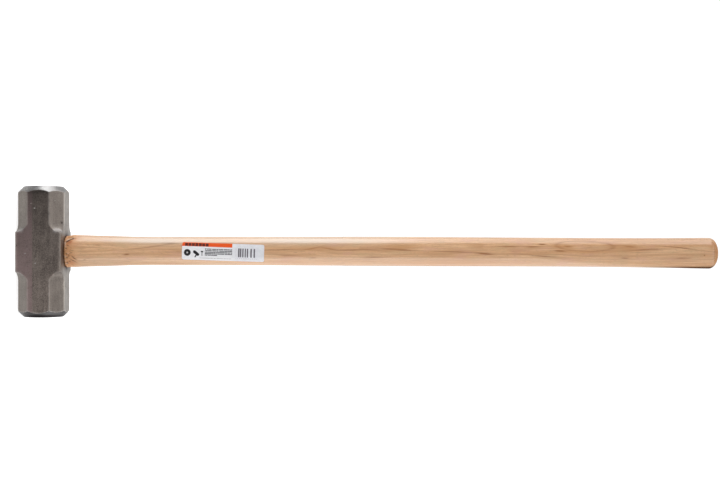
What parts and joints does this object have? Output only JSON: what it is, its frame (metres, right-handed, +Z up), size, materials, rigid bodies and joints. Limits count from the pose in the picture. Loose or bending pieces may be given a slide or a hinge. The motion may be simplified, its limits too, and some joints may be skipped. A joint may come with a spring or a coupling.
{
  "type": "sledgehammer",
  "caption": "Long-handled sledgehammer: double-faced octagonal forged steel head wedged onto an oval hardwood handle, with a paper label.",
  "frame": {"origin": "centre of the head's crown side, where the handle's wedged end shows and on which the hammer stands", "axes": "+Z up along the handle from the head to the grip, X along the head from one striking face to the other, Y across the head, with the label facing -Y"},
  "size_m": [0.1714, 0.061, 0.9144],
  "materials": {
    "forged_steel": "dark lacquered forging, ground bright on the chamfers and striking faces",
    "hardwood": "clear lacquered pale hardwood with a straight grain",
    "wedge_wood": "bare end grain, trimmed flush",
    "wedge_steel": "bare cut steel, stepped faces",
    "label_paper": "printed paper sticker"
  },
  "bodies": {
    "root": {"head": "forged_steel", "handle": "hardwood", "wood_wedge": "wedge_wood", "steel_wedge_near": "wedge_steel", "steel_wedge_far": "wedge_steel", "handle_label": "label_paper"}
  },
  "joints": []
}
